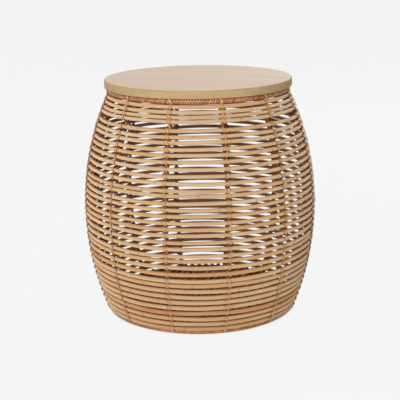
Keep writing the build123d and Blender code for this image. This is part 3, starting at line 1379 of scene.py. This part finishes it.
@dataclass(frozen=True)
class StudioGround(Finish):
    """Matt white paper sweep.

    It gives the eye an even pale ground that keeps a faint shadow, and the shade under the table,
    with a painted warm bounce glowing in it.
    """

    paper: str = PAPER
    bounce: str = "b98758"
    evenness: float = 0.97
    shaded_evenness: float = 0.2
    shade_from_mm: float = 172.0
    shade_to_mm: float = 188.0

    def dress(self, tree: bpy.types.NodeTree, shader: bpy.types.Node) -> None:
        """Mix the lit paper with its even colour.

        Args:
            tree: the material's node tree.
            shader: its principled shader.
        """
        shader.inputs["Roughness"].default_value = 1.0
        shader.inputs["Specular IOR Level"].default_value = 0.0
        place = add_node(tree, "ShaderNodeTexCoord").outputs["Object"]
        far = add_node(tree, "ShaderNodeVectorMath", {"operation": "LENGTH"}, {0: place}).outputs["Value"]
        shade = {"From Min": self.shade_from_mm * MM, "From Max": self.shade_to_mm * MM}
        outside = add_node(tree, "ShaderNodeMapRange", shade, {"Value": far}).outputs["Result"]
        # Painted bounce light: the paper under the table is tinted with the rods' colour
        tints = {"data_type": "RGBA", 6: linear(self.bounce), 7: linear(self.paper)}
        tinted = add_node(tree, "ShaderNodeMix", tints, {0: outside}).outputs[2]
        tree.links.new(tinted, shader.inputs["Base Color"])
        # The paper's even colour glows for the eye; under the table the painted bounce glows there, more
        # weakly
        even = add_node(tree, "ShaderNodeEmission", {}, {"Color": tinted}).outputs["Emission"]
        levels = {"To Min": self.shaded_evenness, "To Max": self.evenness}
        even_here = add_node(tree, "ShaderNodeMapRange", levels, {"Value": outside}).outputs["Result"]
        links = {0: seen_share(tree), 1: even_here}
        share = add_node(tree, "ShaderNodeMath", {"operation": "MULTIPLY"}, links).outputs[0]
        mixed = add_node(tree, "ShaderNodeMixShader", {}, {0: share, 1: shader.outputs["BSDF"], 2: even})
        tree.links.new(mixed.outputs["Shader"], tree.nodes["Material Output"].inputs["Surface"])


@dataclass(frozen=True)
class SoftBox:
    """A soft studio lamp."""

    name: str
    spot: tuple[float, float, float]
    size: float
    watts: float

    def hang(self, aim: Vector) -> None:
        """Hang the lamp and turn it to what it lights."""
        bpy.ops.object.select_all(action="DESELECT")
        bpy.ops.object.light_add(type="AREA", location=self.spot)
        lamp = bpy.context.object
        lamp.name = self.name
        lamp.data.shape = "DISK"
        lamp.data.size = self.size
        lamp.data.energy = self.watts
        lamp.rotation_euler = (aim - lamp.location).to_track_quat("-Z", "Y").to_euler()


@dataclass
class Studio:
    """The ground, the lamps, the surrounding light and the camera."""

    ground_size: float = 60.0
    surround: float = 0.23
    lamps: tuple[SoftBox, ...] = (
        SoftBox("key_lamp", (-0.45, -2.6, 1.25), 2.2, 70.5),
        SoftBox("top_lamp", (0.3, 1.2, 2.3), 1.6, 16.5),
        SoftBox("back_lamp", (1.1, 2.15, 1.45), 1.8, 24.0),
        SoftBox("side_lamp", (-2.2, 0.6, 1.2), 1.6, 10.0),
    )
    aim_height: float = 0.22
    camera_distance: float = 1.982
    camera_height: float = 0.7205
    camera_azimuth: float = 1.55
    camera_pitch: float = 14.51
    camera_roll: float = -0.93
    camera_lens: float = 93.9
    camera_sensor: float = 36.0

    def build(self) -> None:
        """Set up the ground, the light and the camera."""
        bpy.context.scene.view_settings.view_transform = "Standard"
        bpy.ops.object.select_all(action="DESELECT")
        bpy.ops.mesh.primitive_plane_add(size=self.ground_size)
        ground = bpy.context.object
        ground.name = "studio_ground"
        ground.data.materials.append(StudioGround("paper_sweep_matt").material())
        for lamp in self.lamps:
            lamp.hang(UP * self.aim_height)
        self.light_surround()
        self.set_camera()

    def light_surround(self) -> None:
        """Light from all round, and show the paper's colour to the camera."""
        world = bpy.data.worlds.new("studio_surround")
        bpy.context.scene.world = world
        world.use_nodes = True
        tree = world.node_tree
        light = add_node(tree, "ShaderNodeBackground", {"Color": linear(WHITE), "Strength": self.surround})
        shown = add_node(tree, "ShaderNodeBackground", {"Color": linear(PAPER), "Strength": 1.0})
        links = {0: seen_share(tree), 1: light.outputs[0], 2: shown.outputs[0]}
        mixed = add_node(tree, "ShaderNodeMixShader", {}, links)
        tree.links.new(mixed.outputs[0], tree.nodes["World Output"].inputs["Surface"])

    def set_camera(self) -> None:
        """Stand the camera where the photograph was taken from."""
        bpy.ops.object.select_all(action="DESELECT")
        turn = math.radians(self.camera_azimuth)
        spot = Vector((math.sin(turn), -math.cos(turn), 0.0)) * self.camera_distance
        spot.z = self.camera_height
        bpy.ops.object.camera_add(location=spot)
        camera = bpy.context.object
        camera.data.lens = self.camera_lens
        camera.data.sensor_width = self.camera_sensor
        aimed = (
            Matrix.Rotation(turn, 4, "Z")
            @ Matrix.Rotation(math.radians(90 - self.camera_pitch), 4, "X")
            @ Matrix.Rotation(math.radians(self.camera_roll), 4, "Z")
        )
        camera.rotation_euler = aimed.to_euler()
        bpy.context.scene.camera = camera


def main() -> None:
    """Set up the studio, build the basket from the wall inward, then the lid, and dress what stays."""
    logging.basicConfig(level=logging.INFO, format="%(message)s")
    Studio().build()
    wall = Wall()
    Hoops(wall).build()
    Stakes(wall).build()
    WallLashings(wall).build()
    Binding("rim_binding", wall.rim_rod).build()
    Binding("foot_binding", wall.foot_rod, groove=0.35 * MM, seed=67).build()
    SlattedFloor().build()
    Lid().build()
    for core in ("rim_hoop", "foot_hoop"):
        dress_node(core, ROD_FINISH)


if __name__ == "__main__":
    main()
